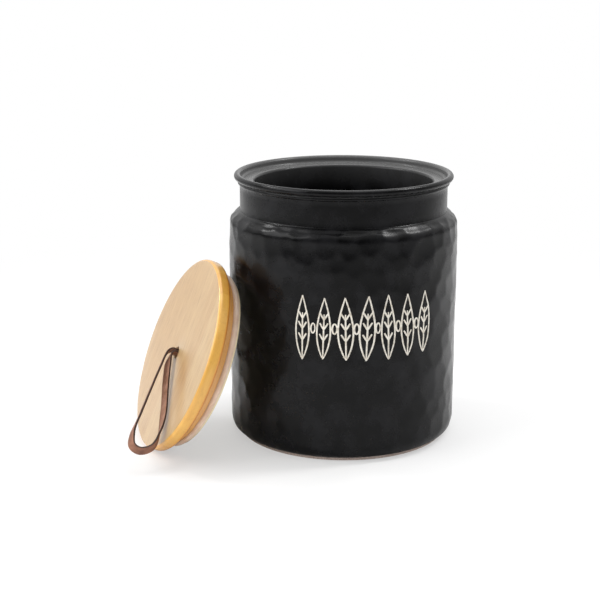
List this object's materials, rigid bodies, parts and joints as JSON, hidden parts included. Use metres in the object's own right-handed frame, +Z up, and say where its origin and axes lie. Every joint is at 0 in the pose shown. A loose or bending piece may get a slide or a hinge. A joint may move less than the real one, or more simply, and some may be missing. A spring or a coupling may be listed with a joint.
{
  "type": "biscuit jar",
  "caption": "Round black hammered stoneware biscuit jar with a rolled rim, and its bamboo plug lid with seal and leather pull leaning on its side.",
  "frame": {"origin": "centre of the jar's foot, on the surface the jar stands on", "axes": "+Z up along the jar's axis, -Y towards the side the picture looks at, the lid leans on the side towards -X"},
  "size_m": [0.2178, 0.1769, 0.1769],
  "materials": {
    "black_glaze": "satin black glaze, hammered",
    "bamboo": "satin lacquered bamboo",
    "seal_silicone": "translucent whitish silicone",
    "leather": "brown leather strip, cut edges"
  },
  "bodies": {
    "jar": {"jar_body": "black_glaze"},
    "lid": {"lid_disc": "bamboo", "lid_plug": "bamboo", "seal_ring": "seal_silicone"},
    "knot": {"strap_knot": "leather"},
    "pull": {"pull_strap": "leather"}
  },
  "joints": [
    {"name": "lid_lift", "type": "slide", "parent": "jar", "child": "lid", "axis": [-0.1948, -0.0724, 0.9782], "range_m": [0, 0.22]},
    {"name": "pull_turn", "type": "hinge", "parent": "lid", "child": "knot", "pos_m": [-0.10936, -0.03915, 0.06252], "axis": [-0.8666, -0.3223, 0.3811], "continuous": true},
    {"name": "pull_fold", "type": "hinge", "parent": "knot", "child": "pull", "pos_m": [-0.11213, -0.04018, 0.06374], "axis": [-0.3261, 0.6946, -0.6412], "range_deg": [0, 145]}
  ]
}
